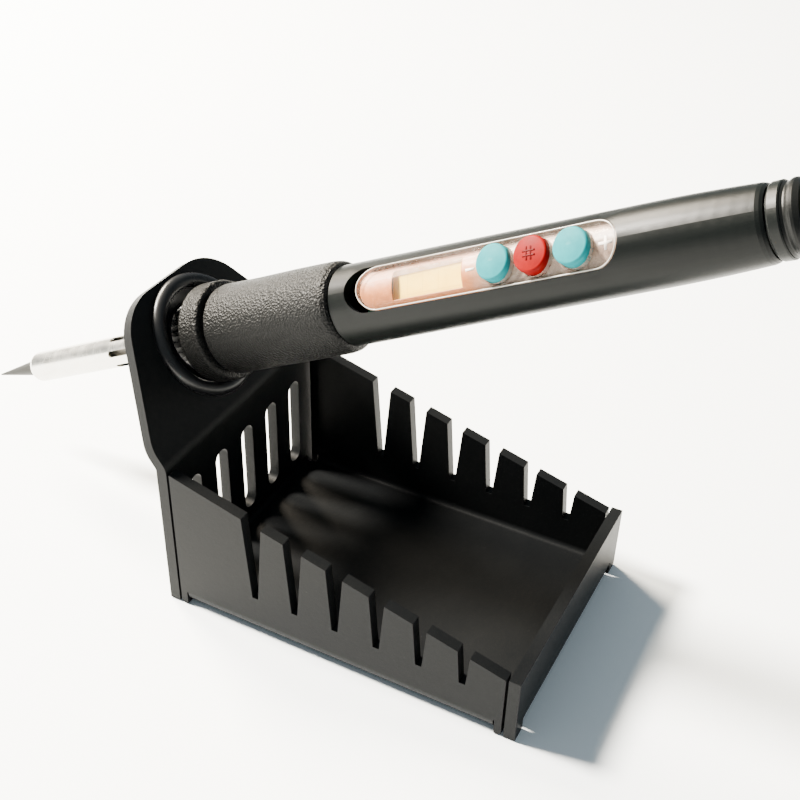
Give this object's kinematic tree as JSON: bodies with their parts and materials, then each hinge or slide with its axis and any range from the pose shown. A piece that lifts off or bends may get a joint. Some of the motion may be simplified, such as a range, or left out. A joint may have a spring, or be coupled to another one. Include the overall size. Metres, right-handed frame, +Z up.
{
  "type": "soldering iron station",
  "caption": "Folded sheet-steel stand with a notched tray and leaning holder plate, holding a hand soldering iron with a screen and buttons.",
  "frame": {"origin": "centre of the tray's footprint, on the bench", "axes": "+Z up, +X from the holder plate towards the front lip, +Y across the tray towards the far side wall"},
  "size_m": [0.2418, 0.07, 0.1465],
  "materials": {
    "black_powder_coat": "fine satin powder coat",
    "black_rubber": "smooth",
    "grip_rubber": "fine spark-eroded grain",
    "bright_steel": "turned and polished",
    "tip_plate": "satin plated",
    "ceramic_white": "matte",
    "grey_plastic": "fine matte",
    "clear_window": "clear, slightly warm",
    "screen_cream": "pale screen",
    "white_plastic": "matte",
    "board_green": "solder mask",
    "chip_black": "moulded",
    "button_cyan": "glossy",
    "button_red": "glossy",
    "switch_steel": "plated"
  },
  "bodies": {
    "stand": {"tray_sheet": "black_powder_coat", "holder_collar": "black_rubber"},
    "iron": {"heater_rod": "ceramic_white", "heater_seat": "ceramic_white", "front_bush": "bright_steel", "grip": "grip_rubber", "handle_shell": "grey_plastic", "window": "clear_window", "lcd_glass": "screen_cream", "lcd_holder": "white_plastic", "circuit_board": "board_green", "controller_chip": "chip_black", "triac": "chip_black", "switch_down": "switch_steel", "switch_set": "switch_steel", "switch_up": "switch_steel", "cord_clamp": "white_plastic", "end_cap": "grey_plastic", "cord_boot": "black_rubber"},
    "barrel": {"tip": "tip_plate", "tip_sleeve": "bright_steel"},
    "nut": {"sleeve_nut": "bright_steel"},
    "key_down": {"button_down": "button_cyan", "plunger_down": "white_plastic"},
    "key_set": {"button_set": "button_red", "plunger_set": "white_plastic"},
    "key_up": {"button_up": "button_cyan", "plunger_up": "white_plastic"}
  },
  "joints": [
    {"name": "iron_lift", "type": "slide", "parent": "stand", "child": "iron", "axis": [0.8934, 0, 0.4493], "range_m": [0, 0.1]},
    {"name": "barrel_pull", "type": "slide", "parent": "iron", "child": "barrel", "axis": [-0.8934, 0, -0.4493], "range_m": [0, 0.04]},
    {"name": "nut_turn", "type": "hinge", "parent": "barrel", "child": "nut", "pos_m": [-0.06072, 0, 0.06011], "axis": [-0.8934, 0, -0.4493], "range_deg": [0, 720]},
    {"name": "press_down", "type": "slide", "parent": "iron", "child": "key_down", "axis": [0.2948, 0.7547, -0.5861], "range_m": [0, 0.0005], "stiffness_N_per_m": 1500, "springref_m": -0.0003},
    {"name": "press_set", "type": "slide", "parent": "iron", "child": "key_set", "axis": [0.2948, 0.7547, -0.5861], "range_m": [0, 0.0005], "stiffness_N_per_m": 1500, "springref_m": -0.0003},
    {"name": "press_up", "type": "slide", "parent": "iron", "child": "key_up", "axis": [0.2948, 0.7547, -0.5861], "range_m": [0, 0.0005], "stiffness_N_per_m": 1500, "springref_m": -0.0003}
  ]
}
